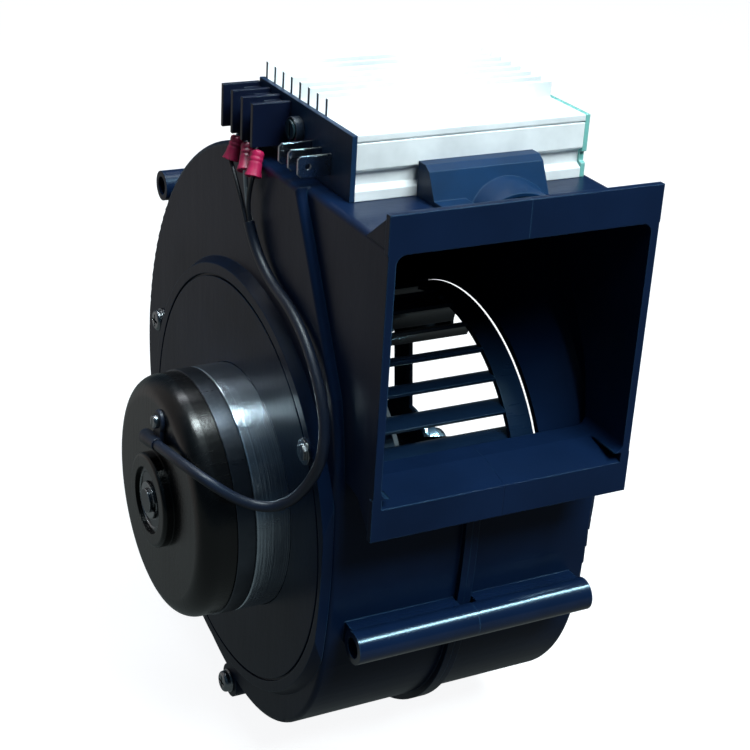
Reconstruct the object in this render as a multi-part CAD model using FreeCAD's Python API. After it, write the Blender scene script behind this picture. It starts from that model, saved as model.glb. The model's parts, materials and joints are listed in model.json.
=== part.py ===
import FreeCAD, Part
import math
import os

V = FreeCAD.Vector

# Every length is in millimetres. The parts are drawn about the fan axis, which
# runs along X through y = 0, z = 0, with the seam of the two housing halves at
# x = 0, the motor at -X, the air inlet at +X and the outlet facing -Y. On
# export they are moved so that the origin is the middle of the front clamp tube.

# ---- main sizes ----
WHEEL_RADIUS = 57.5
SCROLL_HALF = 46.8
WALL = 2.5
ROOF_Z = WHEEL_RADIUS + 52.0

# ---- housing ----
DUCT_HALF = SCROLL_HALF - 3.0
FLANGE_HALF = SCROLL_HALF - 2.8
OUTLET_Y = -WHEEL_RADIUS - 21.9
FLOOR_Z = WHEEL_RADIUS - 27.0
LIP_TOP = ROOF_Z + 9.0
LIP_BOTTOM = FLOOR_Z - 11.0
LIP_THICK = 2.2
FLARE_DEPTH = 13.4
FLARE_DROP = 3.3
OUTLET_CORNER = 3.0

BIG_CENTRE = (-1.6, 13.55)
BIG_RADIUS = WHEEL_RADIUS + 40.9
LOW_RADIUS = WHEEL_RADIUS + 2.0
LOW_START = -86.7
FRONT_START = -168.3
FRONT_RADIUS = WHEEL_RADIUS + 157.5
STEP_LOW_Z = WHEEL_RADIUS - 35.5
STEP_KNEE = (0.5 - WHEEL_RADIUS, WHEEL_RADIUS - 2.5)
STEP_BULGE = 1.2
STEP_TOP_Y = 30.5 - WHEEL_RADIUS
RIM_ROUND = 1.6

SEAM_RIB_HEIGHT = 2.2
SEAM_RIB_HALF = 2.4

TUBE_FRONT = (OUTLET_Y + 11.0, 33.8 - WHEEL_RADIUS)
TUBE_BACK = (WHEEL_RADIUS + 34.5, WHEEL_RADIUS + 14.0)
TUBE_RADIUS = 5.3
TUBE_BORE = 3.3
TUBE_HALF = SCROLL_HALF - 3.3
FRONT_TUBE_HALF = SCROLL_HALF - 5.1

CASE_SCREWS = (
    (WHEEL_RADIUS + 23.8, 24.7),
    (13.0, -WHEEL_RADIUS - 29.5),
    (WHEEL_RADIUS + 15.0, 1.5 - WHEEL_RADIUS),
)
CASE_BOSS_RADIUS = 6.0
CASE_HOLE = 2.15
CASE_PILOT = 1.8
CASE_WASHER = 4.2
CASE_SCREW_LENGTH = SCROLL_HALF + 15.2

DISC_CENTRE = (8.0, -2.0)
DISC_BASE = WHEEL_RADIUS + 16.0
DISC_TOP = DISC_BASE - 2.0
DISC_PROUD = 3.5
DISC_GROOVE = DISC_TOP - 3.4
GROOVE_SIZE = 0.9

# ---- inlet ----
THROAT_RADIUS = WHEEL_RADIUS - 0.5
THROAT_X = SCROLL_HALF - 17.8
DISH_RADIUS = WHEEL_RADIUS + 15.5
DISH_CENTRE = (14.0, 8.0)
DISH_WALL = 2.4

# ---- motor ----
MOTOR_RADIUS = 40.0
CAP_FACE_X = -SCROLL_HALF - 32.2
CAP_REAR_X = CAP_FACE_X + 11.4
CAP_RADIUS = MOTOR_RADIUS - 0.5
CAP_ROUND = 6.5
CAP_WALL = 3.0
RING_REAR_X = CAP_REAR_X + 5.8
CAN_END_X = CAP_FACE_X + 70.0
CAN_WALL = 2.5
BOSS_RADIUS = 15.5
BOSS_PROUD = 3.5
BEARING_OUTER = 11.0
BEARING_BORE = 4.0
BEARING_WIDTH = 7.0
REAR_BEARING_X = CAP_FACE_X - 2.5
FRONT_BEARING_X = CAN_END_X - 8.0
BALL_COUNT = 7
BALL_GAP = 0.06
RACE_THICK = 1.8
MOUNT_SCREW_RADIUS = MOTOR_RADIUS + 20.0
MOUNT_SCREW_ANGLES = (144.0, -36.0)
MOUNT_WASHER = 3.9
MOUNT_PLATE_THICK = 2.0
AIR_GAP = 0.6
CORE_RADIUS = MOTOR_RADIUS - 9.1
CORE_X0 = CAP_FACE_X + 29.0
CORE_X1 = CAN_END_X - 14.0
SLOTS = 12
COMMUTATOR_RADIUS = 12.0
COMMUTATOR_X0 = CAP_FACE_X + 7.0
COMMUTATOR_X1 = COMMUTATOR_X0 + 11.5
BRUSH_X0 = CAP_FACE_X + 9.0
BRUSH_X1 = BRUSH_X0 + 7.0
BRUSH_HALF = 3.5
BRUSH_TOP = MOTOR_RADIUS - 17.0
HOLDER_END = MOTOR_RADIUS - 6.5

# ---- impeller ----
BLADE_INNER = WHEEL_RADIUS - 10.5
BLADE_COUNT = 32
BLADE_THICK = 1.2
BLADE_X0 = -SCROLL_HALF + 9.8
BLADE_X1 = SCROLL_HALF - 21.8
BLADE_SWEEP = 7.0
BLADE_PHASE = 0.9
RING_WEB = 1.4
RING_END_X = BLADE_X1 + 3.3
HOOP_OUTER = WHEEL_RADIUS - 0.2
HOOP_START = BLADE_X1 - 5.0
HOOP_THICK = 2.1
DISC_X = BLADE_X1 - 15.5
DISC_THICK = 1.2
SPOKES = 5
SPOKE_WIDTH = 11.0
SPOKE_ANGLE = 82.4
HUB_RADIUS = 10.0
HUB_FLANGE = 17.0
NUT_X = DISC_X + 10.5
NUT_THICK = 4.6
NUT_ACROSS = 13.0
SHAFT_RADIUS = 4.0
SHAFT_X0 = REAR_BEARING_X - 1.5
SHAFT_X1 = NUT_X + NUT_THICK + 1.0
RETAINER_THICK = 0.7

# ---- controller ----
BOX_X0 = -SCROLL_HALF + 8.8
BOX_X1 = SCROLL_HALF - 5.8
BOX_Y0 = OUTLET_Y + 35.8
BOX_Y1 = BOX_Y0 + 64.8
BOX_Z0 = ROOF_Z + 0.1
BOX_Z1 = BOX_Z0 + 19.4
PLATE_THICK = 1.6
FINS = 8
FIN_HEIGHT = 5.0
FIN_THICK = 1.3
FIN_FIRST_Y = BOX_Y0 + 20.6
FIN_LAST_Y = BOX_Y1 - 1.8
SHELL = 2.0
LID = 3.2
CHANNEL_DEPTH = 2.0
CHANNEL_LOW = BOX_Z0 + 3.0
BOARD_Z = BOX_Z0 + 4.4
BOARD_THICK = 1.6
BOARD_GAP = 3.0

BARRIER_PITCH = 7.62
BARRIER_FIRST_Y = BOX_Y0 + 41.95
BARRIER_THICK = 1.5
BARRIER_X = BOX_X0 - 12.3
BARRIER_Z0 = BOX_Z0 + 4.8
BARRIER_Z1 = BARRIER_Z0 + 13.3
BLOCK_X = BOX_X0 - 5.5
TERMINAL_Z = BARRIER_Z0 + 7.2
CLAMP_THICK = 0.7
FORK_THICK = 0.8
TAB_WIDTH = 6.35
TAB_THICK = 0.8
TAB_LENGTH = 10.5
TAB_Z = BOX_Z0 + 7.4
TAB_YS = (BOX_Y0 + 12.9, BOX_Y0 + 19.5, BOX_Y0 + 26.1)
POT_Y = BOX_Y0 + 35.0
POT_Z = BOX_Z0 + 11.4
POT_RADIUS = 3.0

CLIP_X0 = -16.5
CLIP_X1 = 21.5
CLIP_TOP = BOX_Z0 + 10.4
CLIP_THICK = 3.0
CLIP_DEPTH = 11.2
HOOK_Z = CHANNEL_LOW + 2.0
HOOD_X = 8.0
HOOD_RADIUS = 15.9
HOOD_LENGTH = 11.0
FOOT_THICK = 1.6
FRONT_CLIP_SCREW = (-12.0, OUTLET_Y + 13.4)
REAR_CLIP_SCREW = (-7.0, BOX_Y1 + 8.3)

# ---- cable ----
CABLE_DIAMETER = 3.4
LEAD_DIAMETER = 1.4
LEAD_RISES = (6.0, 6.5, 8.0)
NECK_RADIUS = 0.8
NECK_Z = BARRIER_Z0 - 1.2
SLEEVE_TOP_X = BARRIER_X + 2.7
SLEEVE_TOP_Z = BARRIER_Z0 - 1.4
SLEEVE_FOOT_X = -SCROLL_HALF - 3.5
SLEEVE_DROP = 7.2
SLEEVE_LEAN = -3.0
SLEEVE_SWAYS = (-2.8, -4.6, -0.6)
SLEEVE_RADIUS = 2.1
SLEEVE_FLARE = 2.7
CABLE_ROUTE = (
    (CAP_FACE_X - 2.5, 0.0, MOTOR_RADIUS - 18.2),
    (CAP_FACE_X - 4.0, 4.0 - MOTOR_RADIUS, 29.5),
    (-SCROLL_HALF - 17.7, -MOTOR_RADIUS - 3.5, 15.5),
    (-SCROLL_HALF - 6.8, -MOTOR_RADIUS - 12.5, 21.5),
    (-SCROLL_HALF - 3.5, BARRIER_FIRST_Y - 63.0, 46.5),
    (-SCROLL_HALF - 1.9, BARRIER_FIRST_Y - 38.35, BARRIER_Z0 - 42.4),
    (-SCROLL_HALF - 2.1, BARRIER_FIRST_Y - 4.85, BARRIER_Z0 - 36.4),
    (-SCROLL_HALF - 3.0, BARRIER_FIRST_Y + 1.15, BARRIER_Z0 - 23.9),
)
CLAMP_SCREW = (-3.6, MOTOR_RADIUS - 10.6)
GROMMET_RADIUS = 2.5
GROMMET_TIP = 1.95
GROMMET_LENGTH = 3.5
BOOT_LENGTH = 8.0
EAR_RADIUS = 3.6
EAR_THICK = 1.4
CLAMP_HEAD = 2.2


def box(x0, x1, y0, y1, z0, z1):
    return Part.makeBox(x1 - x0, y1 - y0, z1 - z0, V(x0, y0, z0))


def rod(radius, x0, x1, at=(0.0, 0.0)):
    return Part.makeCylinder(radius, x1 - x0, V(x0, at[0], at[1]), V(1, 0, 0))


def pipe(outer, inner, x0, x1, at=(0.0, 0.0)):
    return rod(outer, x0, x1, at).cut(rod(inner, x0, x1, at))


def around(radius, degrees, centre=(0.0, 0.0)):
    angle = math.radians(degrees)
    return (centre[0] + radius * math.cos(angle), centre[1] + radius * math.sin(angle))


def slab(points, x0, x1):
    """Polygon in the YZ plane, drawn out along X."""
    corners = [V(x0, y, z) for y, z in points]
    face = Part.Face(Part.makePolygon(corners + corners[:1]))
    return face.extrude(V(x1 - x0, 0, 0))


def spun(points):
    """Closed outline of (x, radius) corners turned about the fan axis."""
    corners = [V(x, 0, r) for x, r in points]
    face = Part.Face(Part.makePolygon(corners + corners[:1]))
    return face.revolve(V(0, 0, 0), V(1, 0, 0), 360)


def hexagon(across, x0, x1, at):
    points = [around(across / math.sqrt(3.0), 60 * k + 30, at) for k in range(6)]
    return slab(points, x0, x1)


def bite(shape, tools):
    for tool in tools:
        shape = shape.cut(tool)
    return shape


def join(shapes):
    return shapes[0].fuse(shapes[1:]).removeSplitter()


def rounded(shape, radius, keep):
    edges = [edge for edge in shape.Edges if keep(edge)]
    return shape.makeFillet(radius, edges)


def mirrored(shape):
    return shape.mirror(V(0, 0, 0), V(1, 0, 0))


# ---- scroll outline ----
def scroll_face():
    """Side outline of the scroll: roof, three tangent arcs, front step."""
    def point(radius, degrees, centre):
        return V(0, *around(radius, degrees, centre))

    low_centre = around(BIG_RADIUS - LOW_RADIUS, LOW_START, BIG_CENTRE)
    front_centre = around(LOW_RADIUS - FRONT_RADIUS, FRONT_START, low_centre)
    roof_angle = math.degrees(math.asin((ROOF_Z - BIG_CENTRE[1]) / BIG_RADIUS))
    step_angle = -180.0 - math.degrees(math.asin((STEP_LOW_Z - front_centre[1]) / FRONT_RADIUS))
    a = point(BIG_RADIUS, roof_angle, BIG_CENTRE)
    b = point(BIG_RADIUS, (roof_angle + LOW_START) / 2, BIG_CENTRE)
    c = point(BIG_RADIUS, LOW_START, BIG_CENTRE)
    d = point(LOW_RADIUS, (LOW_START + FRONT_START) / 2, low_centre)
    e = point(LOW_RADIUS, FRONT_START, low_centre)
    f = point(FRONT_RADIUS, (FRONT_START + step_angle) / 2, front_centre)
    g = point(FRONT_RADIUS, step_angle, front_centre)
    knee = V(0, *STEP_KNEE)
    chord = knee - g
    bulge = g + chord * 0.5 + V(0, -chord.z, chord.y).normalize() * STEP_BULGE
    top = V(0, STEP_TOP_Y, ROOF_Z)
    edges = [
        Part.LineSegment(top, a),
        Part.Arc(a, b, c),
        Part.Arc(c, d, e),
        Part.Arc(e, f, g),
        Part.Arc(g, bulge, knee),
        Part.LineSegment(knee, top),
    ]
    return Part.Face(Part.Wire([edge.toShape() for edge in edges]))


def scroll_block(inset, x0, x1):
    face = scroll_face()
    if inset:
        face = face.makeOffset2D(-inset, 2)
    face = face.copy()
    face.translate(V(x0, 0, 0))
    return face.extrude(V(x1 - x0, 0, 0))


def duct_hollow(x0, x1):
    """Air space of the outlet duct with rounded corners on the outer side."""
    space = box(x0, x1, OUTLET_Y - 1, STEP_TOP_Y + 8, FLOOR_Z + WALL, ROOF_Z - WALL)
    side = min(x0, x1)

    def corner(edge):
        return edge.Length > 40 and abs(edge.CenterOfMass.x - side) < 0.01 and abs(edge.tangentAt(0).y) > 0.9

    return rounded(space, OUTLET_CORNER, corner)


def floor_flare(x0, x1, drop):
    """Wedge in which the duct floor slopes down to the outlet."""
    top = FLOOR_Z + drop
    front = OUTLET_Y - (1.0 if drop else 0.0)
    slope = FLARE_DROP / FLARE_DEPTH
    fall = (OUTLET_Y + FLARE_DEPTH - front) * slope
    return slab([(OUTLET_Y + FLARE_DEPTH, top), (front, top), (front, top - fall)], x0, x1)


def lips(x0):
    """Upper and lower flange of the outlet, with the gussets behind them."""
    back = OUTLET_Y + LIP_THICK
    upper = box(x0, 0, OUTLET_Y, back, ROOF_Z - WALL, LIP_TOP)
    lower = box(x0, 0, OUTLET_Y, back, LIP_BOTTOM, FLOOR_Z + WALL)
    high = slab([(back, LIP_TOP - 1.5), (back, ROOF_Z - 1), (back + 11, ROOF_Z - 1)], -DUCT_HALF, -DUCT_HALF + 2)
    low = slab([(back, LIP_BOTTOM + 2), (back, FLOOR_Z + 1), (back + 9, FLOOR_Z + 1)], -DUCT_HALF, -DUCT_HALF + 2)
    return [upper, lower, high, low]


def seam_rib():
    """Rib at the seam, round the drum from under the outlet to the roof."""
    outer = scroll_face().makeOffset2D(SEAM_RIB_HEIGHT, 2).extrude(V(-SEAM_RIB_HALF, 0, 0))
    ring = outer.cut(scroll_block(1.0, -SEAM_RIB_HALF - 1, 1))
    return ring.cut(box(-10, 10, OUTLET_Y - 40, BOX_Y1 + 12.8, FLOOR_Z - 2, ROOF_Z + 20))


def clamp_tubes():
    """Two tubes across the housing with the webs that carry them."""
    front = rod(TUBE_RADIUS, -FRONT_TUBE_HALF, 0, TUBE_FRONT)
    web_low = TUBE_FRONT[1] - 3
    front_web = box(-FRONT_TUBE_HALF + 1, -3, TUBE_FRONT[0], TUBE_FRONT[0] + 12.4, web_low, web_low + 7.4)
    back = rod(TUBE_RADIUS, -TUBE_HALF, 0, TUBE_BACK)
    dy = BIG_CENTRE[0] - TUBE_BACK[0]
    dz = BIG_CENTRE[1] - TUBE_BACK[1]
    reach = math.hypot(dy, dz)
    across = (-dz / reach * 2.5, dy / reach * 2.5)
    inner = (TUBE_BACK[0] + dy / reach * 13, TUBE_BACK[1] + dz / reach * 13)
    back_web = slab([
        (TUBE_BACK[0] + across[0], TUBE_BACK[1] + across[1]),
        (inner[0] + across[0], inner[1] + across[1]),
        (inner[0] - across[0], inner[1] - across[1]),
        (TUBE_BACK[0] - across[0], TUBE_BACK[1] - across[1]),
    ], -TUBE_HALF + 2, -2)
    return [front, front_web, back, back_web]


def tube_bores(x0, x1):
    return [rod(TUBE_BORE, x0, x1, TUBE_FRONT), rod(TUBE_BORE, x0, x1, TUBE_BACK)]


def half_shell():
    """What both housing halves share, drawn at -X."""
    def rim(edge):
        return abs(edge.BoundBox.XMin + SCROLL_HALF) < 0.01 and edge.BoundBox.XLength < 0.01

    def roof_edge(edge):
        middle = edge.CenterOfMass
        return abs(middle.x + DUCT_HALF) < 0.01 and abs(middle.z - ROOF_Z) < 0.01

    scroll = rounded(scroll_block(0, -SCROLL_HALF, 0), RIM_ROUND, rim)
    duct = rounded(box(-DUCT_HALF, 0, OUTLET_Y, STEP_TOP_Y + 6, FLOOR_Z, ROOF_Z), 2.0, roof_edge)
    outer_bosses = [rod(CASE_BOSS_RADIUS, -SCROLL_HALF, 0, at) for at in CASE_SCREWS[1:]]
    parts = [scroll, duct, floor_flare(-DUCT_HALF, 0, 0)] + lips(-FLANGE_HALF)
    solid = join(parts + [seam_rib()] + clamp_tubes() + outer_bosses)
    hollows = [scroll_block(WALL, -SCROLL_HALF + WALL, 1)]
    hollows.append(duct_hollow(-DUCT_HALF + WALL, 1))
    hollows.append(floor_flare(-DUCT_HALF + WALL + 0.4, 1, WALL))
    solid = bite(solid, hollows + tube_bores(-TUBE_HALF - 1, 1))
    inner_boss = rod(CASE_BOSS_RADIUS - 1, -SCROLL_HALF + 1, 0, CASE_SCREWS[0])
    return join([solid, inner_boss])


def housing_motor_side():
    """Half that carries the motor on a raised round pad."""
    top_x = -SCROLL_HALF - DISC_PROUD
    pad = Part.makeCone(DISC_TOP, DISC_BASE, DISC_PROUD, V(top_x, *DISC_CENTRE), V(1, 0, 0))
    pad = pad.common(scroll_block(0, top_x, -SCROLL_HALF))
    recess = rod(DISC_TOP - 1.0, top_x + WALL, -SCROLL_HALF + WALL + 0.5, DISC_CENTRE)
    recess = recess.common(scroll_block(WALL, top_x, 0))
    groove = pipe(DISC_GROOVE, DISC_GROOVE - GROOVE_SIZE, top_x, top_x + GROOVE_SIZE, DISC_CENTRE)
    shell = join([half_shell(), pad, mount_pads(top_x)])
    tools = [recess, groove, rod(MOTOR_RADIUS + 0.2, top_x - 1, 0)]
    tools += [rod(2.15, top_x - 2, 0, at) for at in mount_points()]
    tools += [rod(CASE_HOLE, top_x, 1, at) for at in CASE_SCREWS]
    tools += [rod_z(1.35, FRONT_CLIP_SCREW, ROOF_Z - 8, ROOF_Z + 1)]
    tools += [rod_z(1.35, REAR_CLIP_SCREW, ROOF_Z - 12, ROOF_Z + 1)]
    return bite(shell, tools)


def mount_points():
    return [around(MOUNT_SCREW_RADIUS, degrees) for degrees in MOUNT_SCREW_ANGLES]


def mount_pads(top_x):
    """Small raised seats under the motor screws."""
    seats = [rod(MOUNT_WASHER + 0.3, top_x - 0.6, top_x + 1, at) for at in mount_points()]
    return seats[0].fuse(seats[1])


def housing_inlet_side():
    """Half with the recessed conical inlet and its round throat."""
    def ring(x, radius, centre):
        return Part.Wire(Part.makeCircle(radius, V(x, *centre), V(1, 0, 0)))

    def cone(grow):
        low = ring(THROAT_X - 0.2 * (grow == 0), THROAT_RADIUS + grow, (0, 0))
        high = ring(SCROLL_HALF + 0.2 * (grow == 0), DISH_RADIUS + grow, DISH_CENTRE)
        return Part.makeLoft([low, high], True, True)

    shell = mirrored(half_shell())
    shell = join([shell, cone(DISH_WALL)])
    tools = [cone(0)]
    tools += [rod(CASE_PILOT, -1, CASE_SCREW_LENGTH - SCROLL_HALF + 17, at) for at in CASE_SCREWS]
    return bite(shell, tools)


def rod_z(radius, at, z0, z1):
    return Part.makeCylinder(radius, z1 - z0, V(at[0], at[1], z0), V(0, 0, 1))


def pan_screw(at, seat_x, length, shank):
    """Pan head with a cross recess, a plain washer and a shank along +X."""
    washer = rod(CASE_WASHER, seat_x - 0.8, seat_x, at)
    head = rod(CASE_WASHER - 0.4, seat_x - 3.2, seat_x - 0.8, at)

    def crown(edge):
        return abs(edge.BoundBox.XMax - seat_x + 3.2) < 0.01

    head = rounded(head, 1.3, crown)
    slot_a = box(seat_x - 3.4, seat_x - 1.8, at[0] - 0.5, at[0] + 0.5, at[1] - 2.4, at[1] + 2.4)
    slot_b = box(seat_x - 3.4, seat_x - 1.8, at[0] - 2.4, at[0] + 2.4, at[1] - 0.5, at[1] + 0.5)
    return join([washer, bite(head, [slot_a, slot_b]), rod(shank, seat_x - 1, seat_x + length, at)])


def case_screws():
    shank = CASE_PILOT - 0.02
    return Part.makeCompound([pan_screw(at, -SCROLL_HALF, CASE_SCREW_LENGTH, shank) for at in CASE_SCREWS])


# ---- controller clips ----
def clip_hook(face, side):
    """Outline of the hook that reaches from a clip into the channel of the case."""
    tip = face + side * 1.4
    root = face - side * 0.5
    return [(root, HOOK_Z), (tip, HOOK_Z + 0.6), (tip, HOOK_Z + 1.8), (root, HOOK_Z + 2.6)]


def controller_clip_front():
    """Wedge-shaped block with a hook, a foot on the roof and a round hood."""
    back = BOX_Y0 - 0.15
    front = back - CLIP_DEPTH
    wedge = slab([(back, ROOF_Z), (front, ROOF_Z), (front + 4.9, CLIP_TOP - 1.4), (front + 7.2, CLIP_TOP),
                  (back, CLIP_TOP)], CLIP_X0, CLIP_X1)
    hook = slab(clip_hook(back, 1), CLIP_X0 + 2, CLIP_X1 - 2)
    screw_x, screw_y = FRONT_CLIP_SCREW
    foot = box(CLIP_X0, screw_x + 6, screw_y - 4, front + 1, ROOF_Z, ROOF_Z + FOOT_THICK)
    mouth = front - 6
    centre = V(HOOD_X, mouth, ROOF_Z - 12)
    hood = Part.makeCone(HOOD_RADIUS, HOOD_RADIUS + 2.6, HOOD_LENGTH, centre, V(0, 1, 0))
    hood = hood.common(box(-40, 60, mouth - 1, back, ROOF_Z, CLIP_TOP))
    hollow = Part.makeCylinder(HOOD_RADIUS - 1.1, 6, centre - V(0, 1, 0), V(0, 1, 0))
    hole = rod_z(1.7, FRONT_CLIP_SCREW, ROOF_Z - 1, ROOF_Z + 4)
    return bite(join([wedge, hook, foot, hood]), [hollow, hole])


def controller_clip_rear():
    """Hooked wall behind the controller with a foot bent over the drum."""
    front = BOX_Y1 + 0.15
    wall = box(-16, 14, front, front + CLIP_THICK, ROOF_Z - 5.5, CLIP_TOP)
    hook = slab(clip_hook(front, -1), -14, 12)
    foot = pipe(BIG_RADIUS + 2.2, BIG_RADIUS, -16, 14, BIG_CENTRE)
    foot = foot.common(box(-20, 20, front, REAR_CLIP_SCREW[1] + 7.5, ROOF_Z - 50, CLIP_TOP))
    whole = join([wall, hook, foot])
    rib = scroll_face().makeOffset2D(SEAM_RIB_HEIGHT + 0.1, 2).extrude(V(2 * SEAM_RIB_HALF + 0.2, 0, 0))
    rib.translate(V(-SEAM_RIB_HALF - 0.1, 0, 0))
    rib = rib.common(box(-10, 10, BOX_Y1 + 12.7, BOX_Y1 + 39, ROOF_Z - 50, ROOF_Z + 20))
    return bite(whole, [rod(BIG_RADIUS, -30, 30, BIG_CENTRE), rib, rod_z(1.7, REAR_CLIP_SCREW, ROOF_Z - 15, ROOF_Z + 15)])


def clip_screws():
    seats = [(FRONT_CLIP_SCREW, ROOF_Z + FOOT_THICK), (REAR_CLIP_SCREW, ROOF_Z + 1.2)]
    screws = []
    for at, seat in seats:
        head = rod_z(2.9, at, seat, seat + 1.4)
        slot = box(at[0] - 3, at[0] + 3, at[1] - 0.35, at[1] + 0.35, seat + 0.7, seat + 3)
        shank = rod_z(1.33, at, seat - 6.5, seat)
        screws.append(head.cut(slot).fuse(shank))
    return Part.makeCompound(screws)


# ---- controller ----
def heat_sink():
    """Extruded case with fins on the rear part and a channel along each side."""
    ledge = CHANNEL_LOW
    inner = CHANNEL_DEPTH
    outline = [
        (BOX_Y0, BOX_Z0), (BOX_Y0, ledge), (BOX_Y0 + inner, ledge + 1.2), (BOX_Y0 + inner, ledge + 5),
        (BOX_Y0, ledge + 6.3), (BOX_Y0, BOX_Z1), (BOX_Y1, BOX_Z1), (BOX_Y1, ledge + 6.3),
        (BOX_Y1 - inner, ledge + 5), (BOX_Y1 - inner, ledge + 1.2), (BOX_Y1, ledge), (BOX_Y1, BOX_Z0),
    ]
    x0 = BOX_X0 + PLATE_THICK
    x1 = BOX_X1 - PLATE_THICK
    body = slab(outline, x0, x1)
    edge = inner + SHELL
    room = box(x0 - 1, x1 + 1, BOX_Y0 + edge, BOX_Y1 - edge, BOX_Z0 + SHELL, BOX_Z1 - LID)
    pitch = (FIN_LAST_Y - FIN_FIRST_Y) / (FINS - 1)
    fins = []
    for k in range(FINS):
        y = FIN_FIRST_Y + k * pitch
        fins.append(box(x0, x1, y - FIN_THICK / 2, y + FIN_THICK / 2, BOX_Z1 - 0.5, BOX_Z1 + FIN_HEIGHT))
    step = box(x0 - 1, x1 + 1, BOX_Y0 - 1, BOX_Y0 + 0.5, BOX_Z1 - 2.4, BOX_Z1 - 1.9)
    return bite(join([body] + fins), [room, step])


def end_plate(x0, x1):
    return box(x0, x1, BOX_Y0, BOX_Y1, BOX_Z0, BOX_Z1)


def end_plate_black():
    return end_plate(BOX_X0, BOX_X0 + PLATE_THICK)


def end_plate_clear():
    """Plate at the far end, cut to the same side outline as the case."""
    x0 = BOX_X1 - PLATE_THICK
    ledge = CHANNEL_LOW
    notch = [(BOX_Y0 - 1, ledge + 1), (BOX_Y0 + 1.2, ledge + 1.8), (BOX_Y0 + 1.2, ledge + 4.6), (BOX_Y0 - 1, ledge + 5.4)]
    return end_plate(x0, BOX_X1).cut(slab(notch, x0 - 1, BOX_X1 + 1))


def controller_board():
    edge = SHELL + CHANNEL_DEPTH + 1
    return box(BOX_X0 + BOARD_GAP, BOX_X1 - BOARD_GAP, BOX_Y0 + edge, BOX_Y1 - edge, BOARD_Z, BOARD_Z + BOARD_THICK)


def capacitors():
    """Row of round cans on the board, a little lower than the lid."""
    foot = BOARD_Z + BOARD_THICK
    spots = [(BOX_X0 + 14 + 12 * k, BOX_Y1 - 13.2) for k in range(3)]
    return Part.makeCompound([rod_z(5.0, at, foot, BOX_Z1 - LID - 1.2) for at in spots])


def power_transistors():
    """Flat power packages standing against the front wall of the case."""
    foot = BOARD_Z + BOARD_THICK
    wall = BOX_Y0 + SHELL + CHANNEL_DEPTH + 0.1
    pitch = (BOX_X1 - BOX_X0 - 31) / 3
    packs = []
    for k in range(4):
        x = BOX_X0 + 18 + pitch * k
        body = box(x - 5, x + 5, wall, wall + 4.5, foot + 2, BOX_Z1 - LID - 0.4)
        legs = [box(x + s - 0.4, x + s + 0.4, wall + 1.9, wall + 2.5, foot, foot + 2.2) for s in (-2.5, 0, 2.5)]
        packs.append(join([body] + legs))
    return Part.makeCompound(packs)


def barrier_ys():
    return [BARRIER_FIRST_Y + k * BARRIER_PITCH for k in range(4)]


def pole_ys():
    return [y + BARRIER_PITCH / 2 for y in barrier_ys()[:3]]


def terminal_block():
    """Moulded base with four barrier walls."""
    ys = barrier_ys()
    half = BARRIER_THICK / 2
    base = box(BLOCK_X, BOX_X0, ys[0] - half, ys[-1] + half, BARRIER_Z0, BARRIER_Z1 - 1.5)
    walls = [box(BARRIER_X, BOX_X0, y - half, y + half, BARRIER_Z0, BARRIER_Z1) for y in ys]
    holes = [rod(1.75, BLOCK_X - 1, BOX_X0 - 1.5, (y, TERMINAL_Z)) for y in pole_ys()]
    return bite(join([base] + walls), holes)


def terminal_plates():
    """Tin-plated clamping plates under the terminal screws."""
    plates = []
    for y in pole_ys():
        plate = box(BLOCK_X - CLAMP_THICK, BLOCK_X, y - 2.9, y + 2.9, BARRIER_Z0 + 2.2, BARRIER_Z1 - 2)
        plates.append(plate.cut(rod(1.75, BLOCK_X - 2, BLOCK_X + 1, (y, TERMINAL_Z))))
    return Part.makeCompound(plates)


def sleeve_ends(index):
    """Top and foot of the middle line of one sleeve."""
    y = pole_ys()[index] + SLEEVE_LEAN
    top = V(SLEEVE_TOP_X, y, SLEEVE_TOP_Z)
    return top, V(SLEEVE_FOOT_X, y + SLEEVE_SWAYS[index], SLEEVE_TOP_Z - SLEEVE_DROP)


def stick(radius, a, b):
    """Round bar from a to b with a ball at each end."""
    return join([Part.makeCylinder(radius, (b - a).Length, a, b - a), Part.makeSphere(radius, a),
                 Part.makeSphere(radius, b)])


def fork_neck(index):
    """Round neck of a fork: straight down past the block, then over to its sleeve."""
    top, foot = sleeve_ends(index)
    x = BLOCK_X - CLAMP_THICK - 1.2
    elbow = V(x, pole_ys()[index], NECK_Z)
    over = V(top.x, top.y, NECK_Z)
    upper = Part.makeCylinder(NECK_RADIUS, TERMINAL_Z - 4.0 - NECK_Z, elbow, V(0, 0, 1))
    inside = over + (foot - top).normalize() * 2.4
    return join([upper, stick(NECK_RADIUS, elbow, over), stick(NECK_RADIUS, over, inside)])


def fork_terminals():
    """Forks under the screws, each with a neck that runs into its sleeve."""
    x1 = BLOCK_X - CLAMP_THICK
    x0 = x1 - FORK_THICK
    forks = []
    for index, y in enumerate(pole_ys()):
        plate = box(x0, x1, y - 2.9, y + 2.9, TERMINAL_Z - 4.4, TERMINAL_Z + 2.6)
        slot = box(x0 - 1, x1 + 1, y - 1.75, y + 1.75, TERMINAL_Z - 1, TERMINAL_Z + 3)
        hole = rod(1.75, x0 - 1, x1 + 1, (y, TERMINAL_Z - 0.8))
        forks.append(join([bite(plate, [slot, hole]), fork_neck(index)]))
    return Part.makeCompound(forks)


def terminal_screws():
    x1 = BLOCK_X - CLAMP_THICK - FORK_THICK
    screws = []
    for y in pole_ys():
        at = (y, TERMINAL_Z)
        head = rod(2.7, x1 - 1.8, x1, at)
        slot_a = box(x1 - 2, x1 - 1, y - 2.1, y + 2.1, TERMINAL_Z - 0.4, TERMINAL_Z + 0.4)
        slot_b = box(x1 - 2, x1 - 1, y - 0.4, y + 0.4, TERMINAL_Z - 2.1, TERMINAL_Z + 2.1)
        screws.append(bite(head, [slot_a, slot_b]).fuse(rod(1.6, x1, BOX_X0 - 2, at)))
    return Part.makeCompound(screws)


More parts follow.
